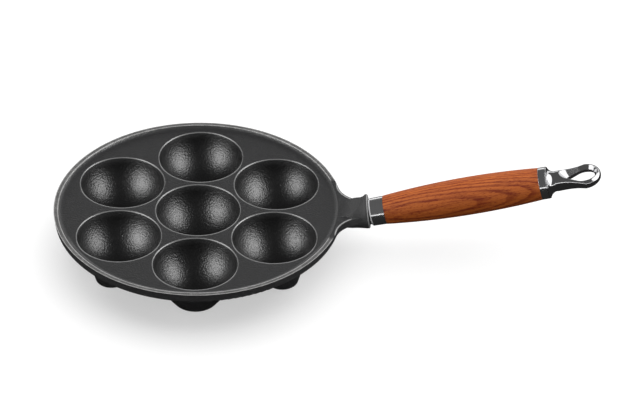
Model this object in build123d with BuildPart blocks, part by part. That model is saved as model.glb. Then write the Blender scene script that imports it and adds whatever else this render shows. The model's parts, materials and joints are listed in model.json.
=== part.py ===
from build123d import *
from math import atan2, cos, degrees, radians, sin
import os

os.makedirs("parts", exist_ok=True)

# A seven-well pancake pan: a cast iron plate with its wells, a turned wooden grip held on a
# threaded tie rod, and a polished hanging loop that pulls the grip against the pan's neck.
# The origin is on the surface that the pan stands on, under the middle of the centre well.
# +X points along the handle and +Z points up. All sizes are in millimetres.

# Plate and rim
rim_diameter = 205.0
rim_land_width = 3.2
rim_rise = 1.8
floor_sweep = 3.4
plate_thickness = 4.9
side_lean = 1.0
under_edge_round = 1.0

# Wells
well_mouth_diameter = 59.8
well_depth = 27.0
well_ring_radius = 63.35
outer_wells = 6
first_well_angle = 30.0
lip_round = 0.9
well_wall = 2.6
pad_diameter = 30.6
pad_thickness = 4.3
pad_corner_round = 2.5

# Feet, under the four outer wells that lie furthest along the handle's line
foot_height = 36.5
foot_diameter = 22.0
foot_draft = 16.0
foot_outward_shift = 6.4
foot_edge_round = 2.5
foot_angles = [30.0, 150.0, 210.0, 330.0]

# Neck, from inside the rim out to the round boss that carries the handle: each reach is how far
# its place lies outside the rim's circle
neck_half_width = 10.0
neck_plan_radius = 20.0
nose_inset = 18.5
waist_reach = 7.5
waist_radius = 10.95
waist_drop = 1.2
flare_reach = 13.5
flare_radius = 11.15
flare_drop = 0.9
lip_reach = 16.9
lip_radius = 12.2
lip_width = 1.8
lip_tilt = 7.0
lip_edge_round = 0.6
ramp_reach = 13.5
ramp_height = 11.0

# Handle axis: its tilt, and the point where it meets the seat that the grip is pulled against
handle_tilt = 12.54
seat_reach = 19.9
seat_drop = 0.71
seat_diameter = 17.2
spot_face_clearance = 0.5

# Tie rod, drawn at its thread's outside diameter
rod_diameter = 8.0
thread_engagement = 15.0
loop_engagement = 9.0
thread_clearance = 0.06
guide_clearance = 0.08
tap_runout = 2.5
rod_chamfer = 0.9

# Front ferrule
ferrule_length = 10.55
ferrule_diameter = 19.7
ferrule_flare = 0.25
ferrule_wall = 1.2
ferrule_end_wall = 2.0
ferrule_front_round = 1.3

# Wooden grip
grip_length = 112.2
grip_front_diameter = 20.4
grip_belly_diameter = 27.0
grip_rear_diameter = 22.8
grip_belly_distance = 62.8
grip_end_round = 0.4
grip_bore_clearance = 0.5
glue_gap = 0.05

# Rear ferrule and the spring washer that sits in it
rear_ferrule_length = 5.3
rear_ferrule_diameter = 22.8
rear_edge_round = 0.3
washer_diameter = 13.6
washer_hole_clearance = 0.2
washer_thickness = 2.0
washer_slit = 1.6
washer_slit_slant = 20.0
washer_side_clearance = 0.4
washer_end_clearance = 0.1

# Hanging loop: a flared shoulder, a round neck and an eye that is flattened from the neck's round
shoulder_length = 6.3
shoulder_land = 0.8
loop_neck_diameter = 14.2
throat_distance = 8.6
throat_width = 15.4
throat_thickness = 12.2
cheek_distance = 14.8
cheek_width = 18.9
cheek_thickness = 9.5
eye_station = 26.8
eye_diameter = 23.0
eye_thickness = 8.4
corner_share = 0.46
hole_diameter = 14.2
hole_tip_diameter = 4.0
hole_tip_distance = 10.6
hole_waist_height = 1.0
hole_flare_angle = 38.0

# Heights and radii that follow from the sizes above
floor_z = foot_height
under_z = floor_z - plate_thickness
rim_z = floor_z + rim_rise
rim_radius = rim_diameter / 2
nose_x = rim_radius - nose_inset
waist_x = rim_radius + waist_reach
flare_x = rim_radius + flare_reach
lip_x = rim_radius + lip_reach
ramp_radius = rim_radius + ramp_reach
seat_x = rim_radius + seat_reach
land_radius = rim_radius - rim_land_width
side_angle = degrees(atan2(side_lean, rim_rise + plate_thickness))
mouth_radius = well_mouth_diameter / 2
bowl_radius = (mouth_radius**2 + well_depth**2) / (2 * well_depth)
bowl_rise = bowl_radius - well_depth
dome_radius = bowl_radius + well_wall
pad_z = floor_z - well_depth - pad_thickness
rod_radius = rod_diameter / 2
guide_radius = rod_radius + guide_clearance
ferrule_radius = ferrule_diameter / 2
cup_radius = ferrule_radius - ferrule_wall
washer_radius = washer_diameter / 2
loop_neck_radius = loop_neck_diameter / 2
shoulder_radius = rear_ferrule_diameter / 2

# Stations along the handle's axis, counted from the seat
grip_front = ferrule_length
grip_rear = grip_front + grip_length
shoulder_front = grip_rear + rear_ferrule_length
neck_station = shoulder_front + shoulder_length
eye_centre = shoulder_front + eye_station
rod_front = -thread_engagement
rod_rear = shoulder_front + loop_engagement

# The side plane holds the handle's axis and is drawn in (station, radius)
tilt = radians(handle_tilt)
seat_point = Vector(seat_x, 0, floor_z - seat_drop)
handle_direction = Vector(cos(tilt), 0, sin(tilt))
handle_axis = Axis(seat_point, handle_direction)
side_plane = Plane(origin=seat_point, x_dir=handle_direction, z_dir=(0, -1, 0))
seat_plane = Plane(origin=seat_point, x_dir=(0, 1, 0), z_dir=handle_direction)
eye_plane = Plane(
    origin=seat_point + handle_direction * eye_centre,
    x_dir=handle_direction,
    z_dir=(-sin(tilt), 0, cos(tilt)),
)


def polar(radius, angle):
    """A point of the plan at this radius, and at this angle from the handle's side."""
    return (radius * cos(radians(angle)), radius * sin(radians(angle)))


well_angles = [first_well_angle + k * 360.0 / outer_wells for k in range(outer_wells)]
well_places = [(0.0, 0.0)] + [polar(well_ring_radius, angle) for angle in well_angles]
foot_places = [polar(well_ring_radius + foot_outward_shift, angle) for angle in foot_angles]

# Bowl: the space inside one well, a spherical cap with a short straight way out
with BuildPart() as bowl:
    with BuildSketch(Plane.XZ):
        with BuildLine():
            bottom = (0, floor_z - well_depth)
            mouth = (mouth_radius, floor_z)
            middle_angle = atan2(mouth_radius, bowl_rise) / 2
            middle = (bowl_radius * sin(middle_angle), floor_z + bowl_rise - bowl_radius * cos(middle_angle))
            ThreePointArc(bottom, middle, mouth)
            Polyline(mouth, (mouth_radius, rim_z), (0, rim_z), bottom)
        make_face()
    revolve(axis=Axis.Z)

# Dome: the casting round one well, drawn down to a flat pad
with BuildPart() as dome:
    with BuildSketch(Plane.XZ):
        with Locations((0, floor_z + bowl_rise)):
            Circle(dome_radius)
        with Locations((0, pad_z)):
            Rectangle(pad_diameter, pad_corner_round, align=(Align.CENTER, Align.MIN))
        make_hull()
        with Locations((0, floor_z - plate_thickness / 2)):
            Rectangle(3 * dome_radius, 3 * dome_radius, align=(Align.CENTER, Align.MIN), mode=Mode.SUBTRACT)
        Rectangle(3 * dome_radius, 6 * dome_radius, align=(Align.MAX, Align.CENTER), mode=Mode.SUBTRACT)
    revolve(axis=Axis.Z)
    pad_rim = dome.edges().filter_by(GeomType.CIRCLE).sort_by(Axis.Z)[0]
    fillet(pad_rim, pad_corner_round)

# Foot: a tapered stub under the outer side of a dome
with BuildPart() as foot:
    with BuildSketch(Plane.XY):
        Circle(foot_diameter / 2)
    extrude(amount=floor_z - well_depth / 3, taper=-foot_draft)
    fillet(foot.edges().filter_by(GeomType.CIRCLE).sort_by(Axis.Z)[0], foot_edge_round)

# Pan casting
with BuildPart() as pan_casting:
    # Plate with the neck's plan: the rim's circle runs out into the neck through hollow curves
    with BuildSketch(Plane.XY.offset(under_z)) as plan:
        Circle(rim_radius - side_lean)
        Rectangle(lip_x, 2 * neck_half_width, align=(Align.MIN, Align.CENTER))
        fillet(plan.vertices().group_by(Axis.X)[-2], neck_plan_radius)
    extrude(amount=rim_rise + plate_thickness, taper=-side_angle)
    level_edges = pan_casting.edges().filter_by(Plane.XY)
    fillet(level_edges.group_by(Axis.Z)[0], under_edge_round)

    # Round boss: it swells out of the plate's underside and narrows to a waist
    nose_z = floor_z - plate_thickness / 2
    waist_z = floor_z - waist_drop
    with BuildSketch(Plane.YZ.offset(nose_x)):
        with Locations((0, nose_z)):
            Ellipse(neck_half_width * 0.9, plate_thickness * 0.4)
    with BuildSketch(Plane.YZ.offset((nose_x + waist_x) / 2)):
        with Locations((0, (nose_z + waist_z - plate_thickness / 2) / 2)):
            Ellipse(neck_half_width, waist_radius * 0.65)
    with BuildSketch(Plane.YZ.offset(waist_x)):
        with Locations((0, waist_z)):
            Circle(waist_radius)
    loft()

    # Flare from the waist to a narrow lip
    with BuildSketch(Plane.YZ.offset(waist_x)):
        with Locations((0, waist_z)):
            Circle(waist_radius)
    with BuildSketch(Plane.YZ.offset(flare_x)):
        with Locations((0, floor_z - flare_drop)):
            Circle(flare_radius)
    lip_plane = Plane(
        origin=(lip_x, 0, floor_z),
        x_dir=(0, 1, 0),
        z_dir=(cos(radians(lip_tilt)), 0, sin(radians(lip_tilt))),
    )
    with BuildSketch(lip_plane) as lip:
        Circle(lip_radius)
    loft()
    extrude(lip.sketch, amount=lip_width)
    lip_edges = pan_casting.edges().filter_by(GeomType.CIRCLE).sort_by(Axis.X)[-1:]
    fillet(lip_edges, lip_edge_round)

    # Seat for the grip, square to the handle's axis, and clear of the lip round the ferrule
    with BuildSketch(seat_plane):
        Circle(seat_diameter / 2)
    extrude(amount=-3 * lip_width)
    with BuildSketch(seat_plane):
        Circle(ferrule_radius + spot_face_clearance)
    extrude(amount=3 * lip_width, mode=Mode.SUBTRACT)

    # Domes and feet
    with Locations(*well_places):
        add(dome.part)
    with Locations(*foot_places):
        add(foot.part)

    # Recess inside the rim, which runs on outside it as a hollow ramp up to the boss
    with BuildSketch(Plane.XZ):
        with BuildLine():
            step = (land_radius - rim_rise / 4, rim_z - rim_rise / 4)
            Line((0, floor_z), (land_radius - floor_sweep, floor_z))
            TangentArc((land_radius - floor_sweep, floor_z), step, tangent=(1, 0))
            Line(step, (land_radius, rim_z))
            TangentArc((land_radius, rim_z), (ramp_radius, floor_z + ramp_height), tangent=(1, 0))
            Polyline(
                (ramp_radius, floor_z + ramp_height),
                (ramp_radius, floor_z + 2 * ramp_height),
                (0, floor_z + 2 * ramp_height),
                (0, floor_z),
            )
        make_face()
    revolve(axis=Axis.Z, mode=Mode.SUBTRACT)

    # Wells, each with a rounded lip
    with Locations(*well_places):
        add(bowl.part, mode=Mode.SUBTRACT)
    at_floor = pan_casting.edges().filter_by(GeomType.CIRCLE).filter_by_position(Axis.Z, floor_z, floor_z)
    lips = [edge for edge in at_floor if abs(edge.radius - mouth_radius) < lip_round]
    fillet(lips, lip_round)

    # Tapped hole for the tie rod
    with Locations(seat_plane):
        Hole(rod_radius + thread_clearance, thread_engagement + tap_runout)

pan_casting.part.label = "pan_casting"
export_step(pan_casting.part, "parts/pan_casting.step")

# Front ferrule: a steel cup over the grip's front end, which sits on the casting's seat
with BuildPart() as front_ferrule:
    with BuildSketch(side_plane):
        with BuildLine():
            Polyline(
                (0, guide_radius),
                (0, ferrule_radius),
                (ferrule_length, ferrule_radius + ferrule_flare),
                (ferrule_length, cup_radius),
                (ferrule_end_wall, cup_radius),
                (ferrule_end_wall, guide_radius),
                close=True,
            )
        make_face()
    revolve(axis=handle_axis)
    front_rims = front_ferrule.edges().filter_by(GeomType.CIRCLE)
    front_rim = [edge for edge in front_rims if abs(edge.radius - ferrule_radius) < ferrule_flare / 2]
    fillet(front_rim, ferrule_front_round)

front_ferrule.part.label = "front_ferrule"
export_step(front_ferrule.part, "parts/front_ferrule.step")

# Wooden grip: turned to two arcs that meet at its belly, with a spigot glued into the ferrule
with BuildPart() as wood_grip:
    with BuildSketch(side_plane):
        with BuildLine():
            bore = rod_radius + grip_bore_clearance
            spigot_front = ferrule_end_wall + glue_gap
            spigot_radius = cup_radius - glue_gap
            belly = (grip_front + grip_belly_distance, grip_belly_diameter / 2)
            front_corner = (grip_front, grip_front_diameter / 2)
            rear_corner = (grip_rear, grip_rear_diameter / 2)
            TangentArc(belly, front_corner, tangent=(-1, 0))
            TangentArc(belly, rear_corner, tangent=(1, 0))
            Polyline(rear_corner, (grip_rear, bore), (spigot_front, bore), (spigot_front, spigot_radius))
            Polyline((spigot_front, spigot_radius), (grip_front, spigot_radius), front_corner)
        make_face()
    revolve(axis=handle_axis)
    end_rims = [
        edge
        for edge in wood_grip.edges().filter_by(GeomType.CIRCLE)
        if min(abs(edge.radius - front_corner[1]), abs(edge.radius - rear_corner[1])) < glue_gap
    ]
    fillet(end_rims, grip_end_round)

wood_grip.part.label = "wood_grip"
export_step(wood_grip.part, "parts/wood_grip.step")

# Rear ferrule: a ring over the tie rod, with a pocket for the spring washer
with BuildPart() as rear_ferrule:
    with BuildSketch(side_plane):
        with BuildLine():
            pocket_radius = washer_radius + washer_side_clearance
            pocket_front = shoulder_front - washer_thickness - washer_end_clearance
            Polyline(
                (grip_rear, guide_radius),
                (grip_rear, shoulder_radius),
                (shoulder_front, shoulder_radius),
                (shoulder_front, pocket_radius),
                (pocket_front, pocket_radius),
                (pocket_front, guide_radius),
                close=True,
            )
        make_face()
    revolve(axis=handle_axis)
    band_rims = rear_ferrule.edges().filter_by(GeomType.CIRCLE)
    outer_rims = [edge for edge in band_rims if edge.radius > shoulder_radius - rear_edge_round]
    fillet(outer_rims, rear_edge_round)

rear_ferrule.part.label = "rear_ferrule"
export_step(rear_ferrule.part, "parts/rear_ferrule.step")

# Spring washer: a split ring, pressed flat between the rear ferrule and the loop's shoulder
with BuildPart() as spring_washer:
    with BuildSketch(seat_plane.offset(shoulder_front - washer_thickness)):
        Circle(washer_radius)
        Circle(rod_radius + washer_hole_clearance, mode=Mode.SUBTRACT)
    extrude(amount=washer_thickness)
    slit_centre = seat_plane.offset(shoulder_front - washer_thickness / 2)
    with Locations(slit_centre * Location((washer_radius, 0, 0), (washer_slit_slant, 0, 0))):
        Box(washer_diameter, washer_slit, 3 * washer_thickness, mode=Mode.SUBTRACT)

spring_washer.part.label = "spring_washer"
export_step(spring_washer.part, "parts/spring_washer.step")

# Hanging loop
with BuildPart() as hanging_loop:
    # Shoulder: it flares from the round neck out to the rear ferrule's diameter
    with BuildSketch(side_plane):
        with BuildLine():
            land_end = (shoulder_front + shoulder_land, shoulder_radius)
            Polyline((neck_station, loop_neck_radius), (neck_station, 0), (shoulder_front, 0))
            Polyline((shoulder_front, 0), (shoulder_front, shoulder_radius), land_end)
            TangentArc((neck_station, loop_neck_radius), land_end, tangent=(-1, 0))
        make_face()
    revolve(axis=handle_axis)

    # Neck to eye: the section widens as it flattens
    sections = [
        (neck_station, loop_neck_diameter, loop_neck_diameter),
        (neck_station + throat_distance, throat_width, throat_thickness),
        (neck_station + cheek_distance, cheek_width, cheek_thickness),
        (eye_centre, eye_diameter, eye_thickness),
    ]
    for station, width, thickness in sections:
        with BuildSketch(seat_plane.offset(station)):
            RectangleRounded(width, thickness, corner_share * thickness)
    loft()

    # Round end of the eye
    with BuildSketch(seat_plane.offset(eye_centre)):
        RectangleRounded(eye_diameter, eye_thickness, corner_share * eye_thickness)
        Rectangle(eye_diameter, 2 * eye_thickness, align=(Align.MAX, Align.CENTER), mode=Mode.SUBTRACT)
    eye_axis = Axis(eye_plane.origin, eye_plane.z_dir)
    revolve(axis=eye_axis, revolution_arc=-180)

    # Drop-shaped hole, narrowest at the middle and flared above and below like a dish
    with BuildSketch(Plane.XY) as drop:
        Circle(hole_diameter / 2)
        with Locations((-hole_tip_distance, 0)):
            Circle(hole_tip_diameter / 2)
        make_hull()
    with BuildSketch(eye_plane):
        add(drop.sketch)
    extrude(amount=hole_waist_height / 2, both=True, mode=Mode.SUBTRACT)
    for side in (1, -1):
        with BuildSketch(eye_plane.offset(side * hole_waist_height / 2)):
            add(drop.sketch)
        extrude(amount=side * loop_neck_radius, taper=-hole_flare_angle, mode=Mode.SUBTRACT)

    # Tapped hole for the tie rod
    with Locations(seat_plane.offset(shoulder_front) * Location((0, 0, 0), (180, 0, 0))):
        Hole(rod_radius + thread_clearance, loop_engagement)

hanging_loop.part.label = "hanging_loop"
export_step(hanging_loop.part, "parts/hanging_loop.step")

# Tie rod
with BuildPart() as tie_rod:
    with BuildSketch(seat_plane.offset(rod_front)):
        Circle(rod_radius)
    extrude(amount=rod_rear - rod_front)
    chamfer(tie_rod.edges().filter_by(GeomType.CIRCLE), rod_chamfer)

tie_rod.part.label = "tie_rod"
export_step(tie_rod.part, "parts/tie_rod.step")
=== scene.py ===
import json
from math import cos, pi, radians, sin

import bmesh
import bpy
from bpy.props import (
    FloatProperty,
    FloatVectorProperty,
    IntProperty,
    PointerProperty,
)
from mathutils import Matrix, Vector


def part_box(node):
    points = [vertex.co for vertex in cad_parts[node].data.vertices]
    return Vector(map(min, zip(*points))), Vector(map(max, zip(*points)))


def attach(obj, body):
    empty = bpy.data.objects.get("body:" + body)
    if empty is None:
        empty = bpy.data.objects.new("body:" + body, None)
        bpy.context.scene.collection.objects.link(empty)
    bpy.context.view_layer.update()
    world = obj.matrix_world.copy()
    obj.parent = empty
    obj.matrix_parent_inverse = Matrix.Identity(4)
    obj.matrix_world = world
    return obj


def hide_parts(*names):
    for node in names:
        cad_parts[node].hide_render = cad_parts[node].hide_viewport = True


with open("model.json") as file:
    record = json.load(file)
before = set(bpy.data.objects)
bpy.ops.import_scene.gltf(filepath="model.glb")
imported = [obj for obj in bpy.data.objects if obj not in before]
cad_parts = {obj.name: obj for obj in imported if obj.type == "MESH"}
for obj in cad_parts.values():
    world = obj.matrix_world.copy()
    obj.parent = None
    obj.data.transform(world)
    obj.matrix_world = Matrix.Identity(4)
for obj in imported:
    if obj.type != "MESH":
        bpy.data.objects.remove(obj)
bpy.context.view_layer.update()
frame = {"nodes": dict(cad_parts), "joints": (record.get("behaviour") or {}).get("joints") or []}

bl_info = {
    "name": "Pancake pan",
    "version": (1, 0, 0),
    "blender": (4, 5, 0),
    "location": "3D View > Sidebar > Pan",
    "description": "Finishes a seven-well pancake pan and sets it on a plain studio floor",
    "category": "Object",
}

JOINTS = {joint["name"]: joint for joint in frame["joints"]}

# The handle's own directions: along it towards the loop, across it, and up from its axis
SEAT = Vector(JOINTS["loop_turn"]["pos_m"])
ALONG = Vector(JOINTS["grip_slide"]["axis"])
ACROSS = Vector((0.0, 1.0, 0.0))
ABOVE = ALONG.cross(ACROSS)


def stations(node):
    """Where a node starts and ends along the handle, counted from the seat."""
    found = [(vertex.co - SEAT).dot(ALONG) for vertex in frame["nodes"][node].data.vertices]
    return min(found), max(found)


def reach(node):
    """The largest distance of a node from the handle's axis."""
    spots = [vertex.co - SEAT for vertex in frame["nodes"][node].data.vertices]
    return max((spot - spot.dot(ALONG) * ALONG).length for spot in spots)


# The rim's radius, and the heights of its top and of the plate above the floor, in metres
RIM_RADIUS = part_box("pan_casting")[1].y
RIM_HEIGHT = 0.0383
PLATE_HEIGHT = 0.0365

# The tie rod: its ends along the handle, and its thread, from how far some turns move the grip
ROD_START, ROD_END = stations("tie_rod")
SLIDE = JOINTS["grip_slide"]["range_m"][1]
TURNS = JOINTS["loop_turn"]["range_deg"][1] / 360
THREAD_PITCH = SLIDE / TURNS
THREAD_DEPTH = 0.6134 * THREAD_PITCH

# The neck's collar: its lean, how far outside the rim it starts, and how far on its end edge a painted
# highlight lies
COLLAR_TILT = radians(7.0)
COLLAR_REACH = 0.0169
COLLAR_SHINE = 0.0016

# What mirrors the softboxes, and what mirrors the dimmer cards in the same places
ENAMEL_AND_WOOD = ("pan_casting", "wood_grip")
STEEL = ("hanging_loop", "front_ferrule", "rear_ferrule", "spring_washer", "threaded_rod")

# Azimuth and elevation of each side's lamps in degrees, and where the soft light comes from
SIDES = {"right": (89.0, 27.0), "left": (-110.0, 26.0)}
SKY_PLACE = (0.12, 0.42, 1.1)
FILL_PLACE = (0.3, -0.8, 0.6)
LAMP_TARGET = Vector((0.0, 0.0, 0.03))


class Signal:
    """A node's output. Arithmetic on it adds Math nodes to the same shader."""

    def __init__(self, shader, socket):
        self.shader = shader
        self.socket = socket

    def other(self, name):
        """Another output of the same node."""
        return Signal(self.shader, self.socket.node.outputs[name])

    def math(self, operation, *values):
        """A Math node of this operation on the given values."""
        return self.shader.node("ShaderNodeMath", {"operation": operation}, dict(enumerate(values)))

    def __add__(self, value):
        return self.math("ADD", self, value)

    def __radd__(self, value):
        return self.math("ADD", value, self)

    def __sub__(self, value):
        return self.math("SUBTRACT", self, value)

    def __rsub__(self, value):
        return self.math("SUBTRACT", value, self)

    def __mul__(self, value):
        return self.math("MULTIPLY", self, value)

    def __rmul__(self, value):
        return self.math("MULTIPLY", value, self)

    def __pow__(self, value):
        return self.math("POWER", self, value)

    def __rpow__(self, value):
        return self.math("POWER", value, self)

    def __abs__(self):
        return self.math("ABSOLUTE", self)


class Shader:
    """The nodes of one material or of the world."""

    def __init__(self, owner):
        owner.use_nodes = True
        self.tree = owner.node_tree
        self.tree.nodes.clear()

    def node(self, kind, settings=None, sockets=None, output=0):
        """Adds a node, sets it up, fills its sockets, and gives back one of its outputs if it has any."""
        made = self.tree.nodes.new(kind)
        for name, value in (settings or {}).items():
            setattr(made, name, value)
        for name, value in (sockets or {}).items():
            if isinstance(value, Signal):
                self.tree.links.new(value.socket, made.inputs[name])
            else:
                made.inputs[name].default_value = value
        return Signal(self, made.outputs[output]) if made.outputs else None

    def place(self):
        """The point on the object, in metres."""
        return self.node("ShaderNodeTexCoord", output="Object")

    def split(self, vector):
        """The three parts of a vector."""
        first = self.node("ShaderNodeSeparateXYZ", sockets={0: vector})
        return first, first.other("Y"), first.other("Z")

    def join(self, x, y, z):
        """A vector from three values."""
        return self.node("ShaderNodeCombineXYZ", sockets={0: x, 1: y, 2: z})

    def handle_place(self):
        """The station along the handle, and the distances across it and above its axis."""
        from_seat = self.node(
            "ShaderNodeVectorMath", {"operation": "SUBTRACT"}, {0: self.place(), 1: SEAT}
        )
        return [
            self.node("ShaderNodeVectorMath", {"operation": "DOT_PRODUCT"}, {0: from_seat, 1: way}, "Value")
            for way in (ALONG, ACROSS, ABOVE)
        ]

    def rise(self, value, low, high):
        """0 up to low, 1 from high on, and a smooth step between them."""
        return self.node(
            "ShaderNodeMapRange",
            {"interpolation_type": "SMOOTHSTEP"},
            {"Value": value, "From Min": low, "From Max": high},
        )

    def near(self, distance, full, gone):
        """1 up to the distance full on either side, 0 from gone on, and a smooth step between them."""
        return 1.0 - self.rise(abs(distance), full, gone)

    def noise(self, vector, scale, detail=2.0, roughness=0.5, distortion=0.0):
        """Soft random mottling from 0 to 1, with this many features to a metre."""
        return self.node(
            "ShaderNodeTexNoise",
            sockets={
                "Vector": vector,
                "Scale": scale,
                "Detail": detail,
                "Roughness": roughness,
                "Distortion": distortion,
            },
        )

    def blend(self, factor, first, second):
        """A colour between two colours."""
        return self.node(
            "ShaderNodeMix",
            {"data_type": "RGBA"},
            {0: factor, 6: colour_of(first), 7: colour_of(second)},
            output=2,
        )

    def bump(self, height, depth):
        """A normal from a height of 0 to 1, which stands for this depth in metres."""
        return self.node("ShaderNodeBump", sockets={"Height": height, "Distance": depth})

    def finish(self, sockets):
        """Ends a material with a Principled shader."""
        shader = self.node("ShaderNodeBsdfPrincipled", sockets=sockets)
        self.node("ShaderNodeOutputMaterial", sockets={"Surface": shader})


def shade(colour, factor):
    """A colour made this many times as bright."""
    return [part * factor for part in colour]


def grey(level):
    """A grey with its alpha."""
    return (level, level, level, 1.0)


def colour_of(value):
    """A signal as it is, or a colour with its alpha."""
    return value if isinstance(value, Signal) else (*value, 1.0)


def material(name):
    """A new material and its shader."""
    made = bpy.data.materials.new(name)
    return made, Shader(made)


def dress(node, finish):
    """Gives a CAD node its finish."""
    mesh = frame["nodes"][node].data
    mesh.materials.clear()
    mesh.materials.append(finish)


def colour_property(name, description, default):
    """A colour that a user can change."""
    return FloatVectorProperty(
        name=name, description=description, default=default, size=3, subtype="COLOR", min=0.0, max=1.0
    )


def length_property(name, description, default):
    """A length in metres that a user can change."""
    return FloatProperty(
        name=name, description=description, default=default, min=0.0, precision=4,
        subtype="DISTANCE", unit="LENGTH",
    )


def place_property(name, description, default):
    """A place in metres that a user can change."""
    return FloatVectorProperty(
        name=name, description=description, default=default, size=len(default),
        subtype="XYZ", unit="LENGTH",
    )


def angle_property(name, description, default):
    """An angle in radians that a user can change."""
    return FloatProperty(name=name, description=description, default=default, subtype="ANGLE")


def level_property(name, description, default):
    """A brightness that a user can change."""
    return FloatProperty(name=name, description=description, default=default, min=0.0)


def power_property(name, description, default):
    """A lamp's power in watts that a user can change."""
    return FloatProperty(name=name, description=description, default=default, min=0.0, unit="POWER")


class PanIron(bpy.types.PropertyGroup):
    """Sizes and colours of the casting's enamel and its ground rim."""

    enamel: colour_property("Enamel", "Colour of the satin enamel", (0.0130, 0.0130, 0.0135))
    # The wells' colour is much darker than the plate's enamel: painted shade down in the wells
    well: colour_property("Wells", "Colour of the smoother enamel in the wells", (0.0014, 0.0014, 0.0015))
    # Painted bounce light: the sides, feet and base, which face down, are made lighter than the enamel
    # above them
    underside_bounce_light: colour_property("Underside", "Colour of the matt sides, feet and base", (0.034, 0.034, 0.035))
    # Painted highlight: a pale line along each well's rounded lip
    lip_highlight: colour_property("Lips", "Colour of the thin enamel on the wells' lips", (0.15, 0.15, 0.15))
    # Painted highlight: a pale line on the neck's flank edges and on the collar's end
    edge: colour_property("Edges", "Colour of the worn edges of the neck", (0.26, 0.26, 0.26))
    bare: colour_property("Ground rim", "Colour of the bare iron on top of the rim", (0.24, 0.238, 0.235))
    rim_land: length_property("Rim land", "Width of the rim's flat top", 0.0032)
    well_mouth: length_property("Well mouth", "Diameter of a well at the plate", 0.0598)
    well_ring: length_property("Well ring", "Distance of the outer wells from the centre", 0.06335)
    outer_wells: IntProperty(
        name="Outer wells", description="How many wells stand round the centre one", default=6, min=1
    )
    # The lip's painted highlight lies further out on each well's front side
    lip_highlight_shift: length_property("Lip shift", "How far out a lip's line lies on its front side", 0.0008)
    peel: length_property("Orange peel", "Size of the enamel's ripples", 0.0011)
    peel_depth: length_property("Peel depth", "Height of the enamel's ripples", 0.00029)
    flank_centre: place_property("Flank centre", "Centre of the neck's hollow flank", (0.1183, 0.0300))
    flank_radius: length_property("Flank radius", "Radius of the neck's hollow flank", 0.020)
    neck_half_angle: angle_property("Neck", "Half angle where the rim isn't ground", radians(20.5))
    boss_start: length_property("Boss start", "Where the neck's rougher enamel begins", 0.104)
    boss_full: length_property("Boss full", "From where on the neck's enamel is rough", 0.112)


class PanWood(bpy.types.PropertyGroup):
    """Sizes and colours of the wooden grip's grain."""

    early: colour_property("Early wood", "Colour between the year rings", (0.470, 0.117, 0.021))
    late: colour_property("Late wood", "Colour of the year rings", (0.180, 0.023, 0.006))
    ring: length_property("Year ring", "Distance between year rings", 0.0017)
    pith: length_property("Pith", "Distance of the tree's middle from the handle's axis", 0.030)
    lean: angle_property("Lean", "Turn of the grain round the handle", radians(10.0))
    slope: FloatProperty(name="Slope", description="Rise of the grain along the handle", default=-0.05)
    offset: length_property("Offset", "How far the arches are moved along the handle", 0.012)
    waver: length_property("Waver", "How far the year rings waver", 0.0022)
    fleck: length_property("Fleck", "Length of the short dark flecks", 0.0024)


class PanSteel(bpy.types.PropertyGroup):
    """Sizes and colours of the steel pieces."""

    cup: colour_property("Front ferrule", "Colour of the dark front ferrule", (0.90, 0.90, 0.91))
    band: colour_property("Rear ferrule", "Colour of the turned rear ferrule", (0.80, 0.80, 0.81))
    loop: colour_property("Hanging loop", "Colour of the polished loop", (0.64, 0.64, 0.65))
    rod: colour_property("Tie rod", "Colour of the tie rod", (0.50, 0.50, 0.51))
    washer: colour_property("Spring washer", "Colour of the spring washer", (0.20, 0.20, 0.22))
    # Painted highlight: a pale satin ring, not metal, at the front ferrule's front edge
    satin_highlight_edge: length_property("Satin edge", "Width of the front ferrule's satin edge", 0.0011)
    loop_face: length_property("Loop face", "Size of the loop's evenly spaced faces", 0.00022)
    loop_rounds: IntProperty(
        name="Loop rounds", description="Rounds of smoothing on the loop", default=24, min=0
    )
    front_thread: length_property("Front thread", "Length of the thread that goes into the casting", 0.018)
    rear_thread: length_property("Rear thread", "Length of the thread that goes into the loop", 0.012)
    rod_sides: IntProperty(
        name="Rod sides", description="Number of sides of the rod's mesh", default=48, min=12
    )


class PanStage(bpy.types.PropertyGroup):
    """The camera, the lamps and the backdrop."""

    lens: FloatProperty(name="Lens", description="Focal length in millimetres", default=381.95)
    target: place_property("Target", "Point that the camera looks at", (0.0808, 0.0033, 0.0365))
    distance: length_property("Distance", "From the camera to its target", 4.6987)
    yaw: angle_property("Yaw", "Turn of the camera round the pan", 0.0179)
    elevation: angle_property("Elevation", "How far the camera stands above the floor", 0.641)
    softbox: length_property("Softbox", "Width of each softbox and card", 0.62)
    softbox_distance: length_property("Softbox distance", "From the pan to each softbox and card", 0.67)
    softbox_power: power_property("Softbox power", "Each softbox, for the enamel and wood", 7.5)
    card_power: power_property("Card power", "Each card, for the steel", 1.5)
    sky: level_property("Sky", "Soft light from overhead", 3.4)
    fill: level_property("Fill", "Soft light from the front", 1.3)
    sky_spread: angle_property("Sky spread", "Width of the soft light", radians(100))
    floor: length_property("Floor", "Side of the floor", 12.0)
    glow: level_property("Glow", "Share of the floor's white that is its own light", 0.48)
    horizon: level_property("Horizon", "Brightness low behind the pan", 1.1)
    dome: level_property("Dome", "Brightness of the room above the pan", 0.105)
    strip: level_property("Strip", "Brightness of the low strip in front", 1.6)


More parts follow.
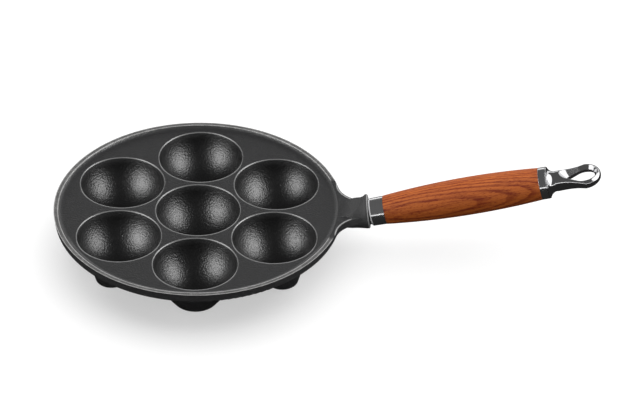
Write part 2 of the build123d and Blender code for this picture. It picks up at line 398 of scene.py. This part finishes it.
def ground_rim(shader, iron, spot, mottle):
    """Where the flat top of the rim is ground bare, and where that is near one of its two edges, which get
    a painted highlight.
    """
    inner = RIM_RADIUS - iron.rim_land
    middle = (inner + RIM_RADIUS) * 0.5
    raggedness = 0.0006
    ragged = spot["radius"] + raggedness * (mottle - 0.5)
    land = shader.rise(ragged, inner - 0.0003, inner + 0.0002)
    land *= shader.rise(spot["z"], RIM_HEIGHT - 0.0010, RIM_HEIGHT - 0.0006)
    land *= shader.rise(spot["facing_up"], 0.35, 0.65)
    land *= shader.rise(abs(spot["angle"]), iron.neck_half_angle - 0.03, iron.neck_half_angle + 0.02)
    # Painted highlight: near its inner and outer edges the land is made brighter
    from_middle = abs(spot["radius"] - middle)
    return land, shader.rise(from_middle, 0.27 * iron.rim_land, 0.40 * iron.rim_land)


def well_masks(shader, iron, spot):
    """Where the painted highlights on the wells' lips are, and where the wells' insides are, which get
    painted shade.
    """
    radius, angle = spot["radius"], spot["angle"]
    mouth = iron.well_mouth / 2

    # Distance to the nearest well, with the outer wells folded onto one
    sector = 2 * pi / iron.outer_wells
    folded = angle.math("WRAP", angle + sector / 2, sector / 2, -sector / 2)
    ahead = radius * folded.math("COSINE", folded) - iron.well_ring
    beside = radius * folded.math("SINE", folded)
    well = radius.math("MINIMUM", radius, (ahead * ahead + beside * beside) ** 0.5)

    # On the front side of each well the painted highlight on the lip lies a little further out
    home = angle - folded
    row = iron.well_ring * home.math("SINE", home)
    from_middle = spot["y"] - row * shader.rise(radius, 0.49 * iron.well_ring, 0.51 * iron.well_ring)
    front = 1.0 - shader.rise(from_middle, -0.6 * mouth, -0.1 * mouth)
    lip_highlight = shader.near(well - mouth - iron.lip_highlight_shift * front, 0.0002, 0.0006)
    lip_highlight *= shader.rise(spot["facing_up"], 0.2, 0.6)
    return lip_highlight, 1.0 - shader.rise(well, mouth - 0.0012, mouth)


def neck_edge_highlights(shader, iron, spot):
    """Where the top edges of the neck's hollow flanks, which are arcs, and the collar's end get a painted
    highlight.
    """
    centre_x, centre_y = iron.flank_centre
    hollow = ((spot["x"] - centre_x) ** 2.0 + (abs(spot["y"]) - centre_y) ** 2.0) ** 0.5
    inset = 0.0004
    flank = shader.near(hollow - iron.flank_radius - inset, 0.0003, 0.0007)
    flank *= shader.rise(spot["facing_up"], 0.1, 0.4)
    flank_end = centre_x - 0.0095
    flank *= 1.0 - shader.rise(spot["x"], flank_end - 0.001, flank_end + 0.001)

    lean, climb = cos(COLLAR_TILT), sin(COLLAR_TILT)
    end = (RIM_RADIUS + COLLAR_REACH) * lean + PLATE_HEIGHT * climb + COLLAR_SHINE
    collar = shader.near(spot["x"] * lean + spot["z"] * climb - end, 0.0001, 0.0004)
    return flank.math("MAXIMUM", flank, collar)


def enamelled_iron(iron):
    """Satin enamel with orange peel, ground bare on top of the rim and rougher on the boss, with painted
    highlights on the rim's edges, the wells' lips and the neck's edges, painted shade in the wells and a
    lighter underside as painted bounce light.
    """
    made, shader = material("enamelled_iron")
    place = shader.place()
    x, y, z = shader.split(place)
    # Where a point lies, in metres and radians, and how far it faces up, from -1 to 1
    spot = {
        "x": x,
        "y": y,
        "z": z,
        "radius": (x * x + y * y) ** 0.5,
        "angle": x.math("ARCTAN2", y, x),
        "facing_up": shader.split(shader.node("ShaderNodeTexCoord", output="Normal"))[2],
    }
    grit = shader.noise(place, 2400.0, detail=3.0)
    mottle = shader.noise(place, 220.0, detail=4.0, roughness=0.6)
    peel = shader.noise(place, 1.0 / iron.peel, detail=1.0, distortion=0.2)
    land, land_edge_highlights = ground_rim(shader, iron, spot, mottle)
    lip_highlight, inside = well_masks(shader, iron, spot)
    # Where the surface faces down; there it takes the lighter underside colour as painted bounce light
    below = 1.0 - shader.rise(spot["facing_up"], -0.05, 0.2)
    boss = shader.rise(x, iron.boss_start, iron.boss_full)

    enamel = shader.blend(mottle, shade(iron.enamel, 0.8), shade(iron.enamel, 1.2))
    # Painted shade: the insides of the wells take the far darker well colour
    enamel = shader.blend(inside, enamel, iron.well)
    enamel = shader.blend(below, enamel, iron.underside_bounce_light)
    # Painted highlight along the wells' lips
    enamel = shader.blend(lip_highlight, enamel, iron.lip_highlight)
    # Painted highlight on the neck's edges
    enamel = shader.blend(neck_edge_highlights(shader, iron, spot), enamel, iron.edge)
    # Random scratches on the bare iron, brighter near the land's edges as painted highlight
    scratches_and_edge_highlight = shader.rise(grit + 0.2 * land_edge_highlights, 0.40, 0.75)
    bare = shader.blend(scratches_and_edge_highlight, shade(iron.bare, 0.45), shade(iron.bare, 1.9))
    # The bare ground iron, mottled, and brighter near its edges as painted highlight
    ground_and_edge_highlight = land * (0.35 + 0.65 * shader.rise(mottle + 0.6 * land_edge_highlights, 0.45, 0.80))
    roughness = 0.40 + 0.10 * (mottle - 0.5) + 0.38 * boss
    shader.finish({
        "Base Color": shader.blend(ground_and_edge_highlight, enamel, bare),
        "Metallic": 0.35 * ground_and_edge_highlight,
        "Roughness": roughness - 0.05 * inside - 0.05 * ground_and_edge_highlight,
        "Specular IOR Level": 0.75,
        "Normal": shader.bump((peel * 0.8) * (1.0 - 0.6 * lip_highlight), iron.peel_depth),
    })
    return made


def oiled_wood(wood):
    """Reddish wood with year rings that run out in arches, fine streaks and short flecks."""
    made, shader = material("oiled_wood")
    along, across, above = shader.handle_place()

    def grain(share, scale, detail=2.0, roughness=0.5):
        """Mottling drawn out along the handle: a smaller share makes it longer."""
        return shader.noise(shader.join(along * share, across, above), scale, detail, roughness)

    pores = grain(0.12, 2600.0, detail=1.0)
    drift = grain(0.10, 140.0)
    streaks = grain(0.035, 1150.0, detail=3.0, roughness=0.65)
    bands = grain(0.06, 330.0)
    flecks = grain(0.22, 0.9 / (0.22 * wood.fleck), detail=1.0)

    # Year rings round the tree's middle, which lies beside the handle and not quite along it
    outward = above * sin(wood.lean) - across * cos(wood.lean)
    sideways = above * cos(wood.lean) + across * sin(wood.lean)
    depth = ((outward + wood.pith) ** 2.0 + sideways * sideways) ** 0.5
    depth += wood.slope * (along + wood.offset) + wood.waver * (drift - 0.5)
    rings = depth * (1.0 / wood.ring)
    phase = rings.math("FRACT", rings)
    ring_line = shader.rise(phase, 0.35, 0.85) * (1.0 - shader.rise(phase, 0.90, 1.0))

    dark = 0.55 * ring_line + 1.7 * (streaks - 0.5) + 0.7 * (bands - 0.5)
    dark += 0.45 * shader.rise(flecks, 0.58, 0.70) + 0.35 * shader.rise(pores, 0.56, 0.66)
    shader.finish({
        "Base Color": shader.blend(shader.rise(dark, -0.25, 0.95), wood.early, wood.late),
        "Roughness": 0.46 + 0.12 * streaks,
        "Specular IOR Level": 0.15,
        "Normal": shader.bump(streaks * 0.5 - 0.6 * shader.rise(flecks, 0.60, 0.72), 0.00004),
    })
    return made


def turned_steel(name, colour, roughness, lines, depth, satin_highlight_end=None):
    """Steel with fine lines round the handle, and up to a station, if that is given, a pale satin edge that
    is not metal, as a painted highlight.
    """
    made, shader = material(name)
    along, across, above = shader.handle_place()
    turning = shader.noise(shader.join(along, across * 0.02, above * 0.02), lines)
    smudge = shader.noise(shader.place(), 160.0, detail=3.0)
    metallic = 1.0
    # A pale ring that is not metal: a painted highlight on the front edge
    if satin_highlight_end is not None:
        metallic = shader.rise(along, satin_highlight_end - 0.0002, satin_highlight_end + 0.0002)
    shader.finish({
        "Base Color": shader.blend(turning, shade(colour, 0.85), colour),
        "Metallic": metallic,
        "Roughness": roughness + 0.08 * (turning - 0.5) + 0.08 * (smudge - 0.5),
        "Normal": shader.bump(turning, depth),
    })
    return made


def polished_steel(steel):
    """Mirror-polished steel with the faintest ripple."""
    made, shader = material("polished_steel")
    place = shader.place()
    ripple = shader.noise(place, 260.0, detail=1.0)
    wipe = shader.noise(place, 900.0, detail=3.0)
    shader.finish({
        "Base Color": shader.blend(wipe, shade(steel.loop, 0.96), steel.loop),
        "Metallic": 1.0,
        "Roughness": 0.07 + 0.05 * wipe,
        "Normal": shader.bump(ripple, 0.00003),
    })
    return made


def threaded_bar(mesh, length, radius, cuts, sides):
    """Fills a mesh with a bar along +Z that has a thread over each stretch of cuts."""
    # One turn of the thread: places along it as shares of the pitch, and how deep it is there
    profile = ((0.0, 0.0), (0.125, 0.0), (0.4375, 1.0), (0.6875, 1.0))
    chamfer = 1.15 * THREAD_DEPTH
    crease = radians(25.0)
    touching = 1e-6
    shape = bmesh.new()

    def spot(station, side, wanted):
        """A corner at this station and radius, moved in where the bar's ends are bevelled."""
        station = min(max(station, 0.0), length)
        bevel = max(0.0, chamfer - min(station, length - station))
        here = min(wanted, radius - bevel)
        turn = 2 * pi * side / sides
        return shape.verts.new((here * cos(turn), here * sin(turn), station))

    def skin(rows):
        """Faces between each row of corners and the next."""
        for lower, upper in zip(rows, rows[1:]):
            for side in range(sides):
                corners = (lower[side], lower[side + 1], upper[side + 1], upper[side])
                shape.faces.new(corners)

    for start, end in cuts:
        rows = []
        for step in range(round((end - start) / THREAD_PITCH) + 2):
            for share, depth in profile:
                row = []
                for side in range(sides + 1):
                    station = start + (step - 1 + share + side / sides) * THREAD_PITCH
                    station = min(max(station, start), end)
                    fade = 1.0
                    if end < length:
                        fade = min(1.0, (end - station) / THREAD_PITCH)
                    if start > 0.0:
                        fade = min(fade, (station - start) / THREAD_PITCH)
                    row.append(spot(station, side, radius - depth * fade * THREAD_DEPTH))
                rows.append(row)
        skin(rows)
    plain = [edge for cut in cuts for edge in cut if 0.0 < edge < length]
    skin([[spot(station, side, radius) for side in range(sides + 1)] for station in plain])
    for station in (0.0, length):
        ring = [spot(station, side, radius) for side in range(sides)]
        shape.faces.new(ring if station else ring[::-1])
    bmesh.ops.remove_doubles(shape, verts=shape.verts, dist=touching)
    bmesh.ops.dissolve_degenerate(shape, edges=shape.edges, dist=touching / 10)
    bmesh.ops.recalc_face_normals(shape, faces=shape.faces)
    for face in shape.faces:
        face.smooth = True
    for edge in shape.edges:
        edge.smooth = len(edge.link_faces) == 2 and edge.calc_face_angle() < crease
    shape.to_mesh(mesh)
    shape.free()


class PAN_OT_casting(bpy.types.Operator):
    """Gives the casting its enamel and its ground rim"""

    bl_idname = "pan.casting"
    bl_label = "Enamel the casting"

    def execute(self, context):
        dress("pan_casting", enamelled_iron(context.scene.pan_iron))
        return {"FINISHED"}


class PAN_OT_grip(bpy.types.Operator):
    """Gives the grip its wood"""

    bl_idname = "pan.grip"
    bl_label = "Oil the grip"

    def execute(self, context):
        dress("wood_grip", oiled_wood(context.scene.pan_wood))
        return {"FINISHED"}


class PAN_OT_ferrules(bpy.types.Operator):
    """Gives both ferrules and the spring washer their steel"""

    bl_idname = "pan.ferrules"
    bl_label = "Turn the ferrules"

    def execute(self, context):
        steel = context.scene.pan_steel
        satin_highlight_end = stations("front_ferrule")[0] + steel.satin_highlight_edge
        cup = turned_steel("ferrule_steel", steel.cup, 0.16, 3000.0, 0.000003, satin_highlight_end)
        dress("front_ferrule", cup)
        dress("rear_ferrule", turned_steel("turned_steel", steel.band, 0.12, 5000.0, 0.000002))
        dress("spring_washer", turned_steel("spring_steel", steel.washer, 0.35, 2000.0, 0.000004))
        return {"FINISHED"}


class PAN_OT_loop(bpy.types.Operator):
    """Polishes the hanging loop"""

    bl_idname = "pan.loop"
    bl_label = "Polish the loop"

    def execute(self, context):
        steel = context.scene.pan_steel
        dress("hanging_loop", polished_steel(steel))
        loop = frame["nodes"]["hanging_loop"]
        loop.modifiers.new("weld", "WELD").merge_threshold = 0.000002
        even = loop.modifiers.new("even_faces", "REMESH")
        even.mode = "VOXEL"
        even.voxel_size = steel.loop_face
        even.use_smooth_shade = True
        polish = loop.modifiers.new("polish", "SMOOTH")
        polish.factor = 0.5
        polish.iterations = steel.loop_rounds
        return {"FINISHED"}


class PAN_OT_tie_rod(bpy.types.Operator):
    """Cuts the threads of the tie rod"""

    bl_idname = "pan.tie_rod"
    bl_label = "Thread the tie rod"

    def execute(self, context):
        steel = context.scene.pan_steel
        mesh = bpy.data.meshes.new("threaded_rod")
        length = ROD_END - ROD_START
        cuts = ((0.0, steel.front_thread), (length - steel.rear_thread, length))
        threaded_bar(mesh, length, reach("tie_rod"), cuts, steel.rod_sides)
        rod = bpy.data.objects.new("threaded_rod", mesh)
        context.scene.collection.objects.link(rod)
        rod.location = SEAT + ROD_START * ALONG
        rod.rotation_euler = ALONG.to_track_quat("Z", "Y").to_euler()
        mesh.materials.append(turned_steel("rod_steel", steel.rod, 0.28, 2500.0, 0.000003))
        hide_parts("tie_rod")
        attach(rod, "tie")
        return {"FINISHED"}


def lamp(name, kind, place):
    """Adds a lamp that points at the pan, and gives back its object."""
    data = bpy.data.lights.new(name, kind)
    made = bpy.data.objects.new(name, data)
    bpy.context.scene.collection.objects.link(made)
    made.location = place
    made.rotation_euler = (LAMP_TARGET - Vector(place)).to_track_quat("-Z", "Y").to_euler()
    made.visible_camera = False
    return made


def light_only(made, pieces):
    """Keeps a lamp's light on these pieces alone."""
    group = bpy.data.collections.new(made.name)
    for piece in pieces:
        group.objects.link(bpy.data.objects[piece])
    made.light_linking.receiver_collection = group


def bearing(azimuth, elevation, distance):
    """A place at this distance from the pan, with azimuth counted from +Y towards +X."""
    level = cos(elevation) * distance
    return Vector((sin(azimuth) * level, cos(azimuth) * level, sin(elevation) * distance))


def backdrop(stage):
    """A white room to the camera, and to the pan a dim one, bright low down behind and in front."""
    world = bpy.data.worlds.new("studio")
    bpy.context.scene.world = world
    shader = Shader(world)
    _, back, up = shader.split(shader.node("ShaderNodeTexCoord", output="Generated"))
    low = 1.0 - shader.rise(up, 0.26, 0.40)
    behind = shader.rise(back, -0.1, 0.3)
    strip = (1.0 - shader.rise(up, 0.05, 0.11)) * (1.0 - behind)
    room = stage.dome + (stage.horizon - stage.dome) * low * behind + stage.strip * strip
    seen = shader.node("ShaderNodeLightPath", output="Is Camera Ray")
    strength = seen + (1.0 - seen) * room
    light = shader.node("ShaderNodeBackground", sockets={"Strength": strength, "Color": grey(1.0)})
    shader.node("ShaderNodeOutputWorld", sockets={"Surface": light})


def pale_floor(stage):
    """A floor that is white to the camera, takes the pan's shadow, and is clear from below."""
    made, shader = material("pale_floor")
    white = shader.node("ShaderNodeBsdfDiffuse", sockets={"Color": grey(0.95)})
    glow = shader.node("ShaderNodeEmission", sockets={"Color": grey(1.0), "Strength": 1.0})
    dim = shader.node("ShaderNodeBsdfDiffuse", sockets={"Color": grey(0.02)})
    clear = shader.node("ShaderNodeBsdfTransparent")
    camera = shader.node("ShaderNodeLightPath", output="Is Camera Ray")
    below = shader.node("ShaderNodeNewGeometry", output="Backfacing")
    seen = shader.node("ShaderNodeMixShader", sockets={0: stage.glow, 1: white, 2: glow})
    top = shader.node("ShaderNodeMixShader", sockets={0: camera, 1: dim, 2: seen})
    whole = shader.node("ShaderNodeMixShader", sockets={0: below, 1: top, 2: clear})
    shader.node("ShaderNodeOutputMaterial", sockets={"Surface": whole})
    shape = bmesh.new()
    bmesh.ops.create_grid(shape, x_segments=1, y_segments=1, size=stage.floor / 2)
    mesh = bpy.data.meshes.new("floor")
    shape.to_mesh(mesh)
    shape.free()
    mesh.materials.append(made)
    floor = bpy.data.objects.new("floor", mesh)
    bpy.context.scene.collection.objects.link(floor)


class PAN_OT_stage(bpy.types.Operator):
    """Sets up the camera, the lamps, the floor and the backdrop"""

    bl_idname = "pan.stage"
    bl_label = "Set the stage"

    def execute(self, context):
        stage = context.scene.pan_stage
        data = bpy.data.cameras.new("camera")
        data.lens = stage.lens
        data.sensor_width = 36.0
        data.clip_end = 100.0
        camera = bpy.data.objects.new("camera", data)
        context.scene.collection.objects.link(camera)
        back = bearing(pi - stage.yaw, stage.elevation, 1.0)
        camera.location = Vector(stage.target) + stage.distance * back
        camera.rotation_euler = (-back).to_track_quat("-Z", "Y").to_euler()
        context.scene.camera = camera
        context.scene.view_settings.view_transform = "Standard"

        kinds = {"softbox": (stage.softbox_power, ENAMEL_AND_WOOD), "card": (stage.card_power, STEEL)}
        for side, (azimuth, height) in SIDES.items():
            for kind, (power, lit) in kinds.items():
                place = bearing(radians(azimuth), radians(height), stage.softbox_distance)
                softbox = lamp(f"{kind}_{side}", "AREA", place)
                softbox.data.shape = "DISK"
                softbox.data.size = stage.softbox
                softbox.data.energy = power
                softbox.visible_diffuse = False
                light_only(softbox, lit)
        suns = {"sky": (SKY_PLACE, stage.sky), "fill": (FILL_PLACE, stage.fill)}
        for name, (place, energy) in suns.items():
            soft = lamp(name, "SUN", place)
            soft.data.energy = energy
            soft.data.angle = stage.sky_spread
            soft.visible_glossy = False
        backdrop(stage)
        pale_floor(stage)
        return {"FINISHED"}


class PAN_PT_panel(bpy.types.Panel):
    """Lists the pan's sizes, colours and steps"""

    bl_idname = "PAN_PT_panel"
    bl_label = "Pancake pan"
    bl_space_type = "VIEW_3D"
    bl_region_type = "UI"
    bl_category = "Pan"

    def draw(self, context):
        for name in GROUPS:
            box = self.layout.box()
            group = getattr(context.scene, name)
            for field in group.__annotations__:
                box.prop(group, field)
        for operator in OPERATORS:
            self.layout.operator(operator.bl_idname)


GROUPS = {"pan_iron": PanIron, "pan_wood": PanWood, "pan_steel": PanSteel, "pan_stage": PanStage}
OPERATORS = (PAN_OT_casting, PAN_OT_grip, PAN_OT_ferrules, PAN_OT_loop, PAN_OT_tie_rod, PAN_OT_stage)


def register():
    for made in (*GROUPS.values(), *OPERATORS, PAN_PT_panel):
        bpy.utils.register_class(made)
    for name, group in GROUPS.items():
        setattr(bpy.types.Scene, name, PointerProperty(type=group))


def unregister():
    for name in GROUPS:
        delattr(bpy.types.Scene, name)
    for made in reversed((*GROUPS.values(), *OPERATORS, PAN_PT_panel)):
        bpy.utils.unregister_class(made)


def main():
    register()
    bpy.ops.pan.casting()
    bpy.ops.pan.grip()
    bpy.ops.pan.ferrules()
    bpy.ops.pan.loop()
    bpy.ops.pan.tie_rod()
    bpy.ops.pan.stage()


if __name__ == "__main__":
    main()
